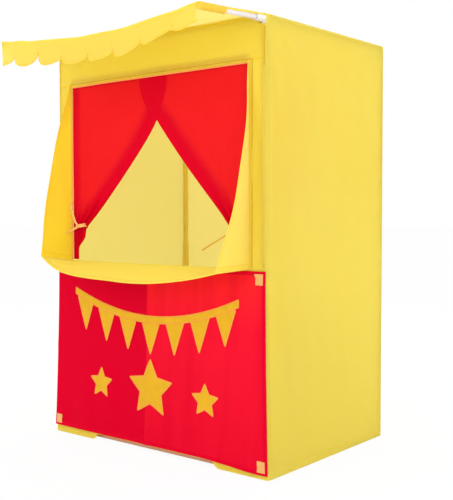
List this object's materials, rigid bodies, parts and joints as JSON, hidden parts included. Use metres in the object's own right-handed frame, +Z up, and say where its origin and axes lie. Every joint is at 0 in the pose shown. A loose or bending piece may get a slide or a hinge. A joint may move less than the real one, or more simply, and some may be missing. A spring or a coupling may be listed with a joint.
{
  "type": "puppet theatre stand",
  "caption": "Free-standing play theatre: tube frame in a sewn cloth cover with a scalloped awning, a curtained stage window with a cloth ledge, a lifting front sign and rear flaps.",
  "frame": {"origin": "on the floor, at the middle of the box that holds the stand and its awning", "axes": "+X to the right of someone who faces the stage window, +Y to the back, +Z up"},
  "size_m": [0.7112, 0.7112, 1.0414],
  "materials": {
    "tube_plastic": "smooth white extruded plastic",
    "connector_plastic": "moulded white plastic, satin",
    "cover_cloth": "thin plain-weave polyester, slightly translucent",
    "curtain_cloth": "thin plain-weave polyester, slightly translucent",
    "sign_cloth": "plain-weave polyester with a fold crease",
    "loop_tape": "tan loop tape",
    "felt": "gold felt with an orange stitched edge"
  },
  "bodies": {
    "stand": {"awning_arm_left": "tube_plastic", "awning_arm_right": "tube_plastic", "awning_canopy": "cover_cloth", "awning_valance": "cover_cloth", "corner_bottom_back_left": "connector_plastic", "corner_bottom_back_right": "connector_plastic", "corner_bottom_front_left": "connector_plastic", "corner_bottom_front_right": "connector_plastic", "corner_top_back_left": "connector_plastic", "corner_top_back_right": "connector_plastic", "corner_top_front_left": "connector_plastic", "corner_top_front_right": "connector_plastic", "coupler_back_left": "connector_plastic", "coupler_back_right": "connector_plastic", "curtain_left": "curtain_cloth", "curtain_right": "curtain_cloth", "gusset_left": "cover_cloth", "gusset_right": "cover_cloth", "header_panel": "cover_cloth", "joint_sill_left": "connector_plastic", "joint_sill_right": "connector_plastic", "ledge_stay_left": "tube_plastic", "ledge_stay_right": "tube_plastic", "ledge_tray": "cover_cloth", "lower_front_panel": "cover_cloth", "post_lower_back_left": "tube_plastic", "post_lower_back_right": "tube_plastic", "post_lower_front_left": "tube_plastic", "post_lower_front_right": "tube_plastic", "post_upper_back_left": "tube_plastic", "post_upper_back_right": "tube_plastic", "post_upper_front_left": "tube_plastic", "post_upper_front_right": "tube_plastic", "rail_bottom_back": "tube_plastic", "rail_bottom_front": "tube_plastic", "rail_bottom_left": "tube_plastic", "rail_bottom_right": "tube_plastic", "rail_sill": "tube_plastic", "rail_top_back": "tube_plastic", "rail_top_front": "tube_plastic", "rail_top_left": "tube_plastic", "rail_top_right": "tube_plastic", "roof_panel": "cover_cloth", "side_strip_left": "cover_cloth", "side_strip_right": "cover_cloth", "tieback_left": "cover_cloth", "tieback_right": "cover_cloth", "wall_left": "cover_cloth", "wall_right": "cover_cloth"},
    "sign": {"applique_garland": "felt", "applique_star": "felt", "applique_star_left": "felt", "applique_star_right": "felt", "loop_patch_bottom_left": "loop_tape", "loop_patch_bottom_right": "loop_tape", "loop_patch_top_left": "loop_tape", "loop_patch_top_right": "loop_tape", "sign_banner": "sign_cloth"},
    "left_flap": {"back_flap_left": "cover_cloth"},
    "right_flap": {"back_flap_right": "cover_cloth"}
  },
  "joints": [
    {"name": "sign_lift", "type": "hinge", "parent": "stand", "child": "sign", "pos_m": [0, -0.1535, 0.468], "axis": [-1, 0, 0], "range_deg": [0, 60]},
    {"name": "left_flap_swing", "type": "hinge", "parent": "stand", "child": "left_flap", "pos_m": [-0.3541, 0.3556, 0.52], "axis": [0, 0, 1], "range_deg": [0, 150]},
    {"name": "right_flap_swing", "type": "hinge", "parent": "stand", "child": "right_flap", "pos_m": [0.3541, 0.3556, 0.52], "axis": [0, 0, -1], "range_deg": [0, 150]}
  ]
}
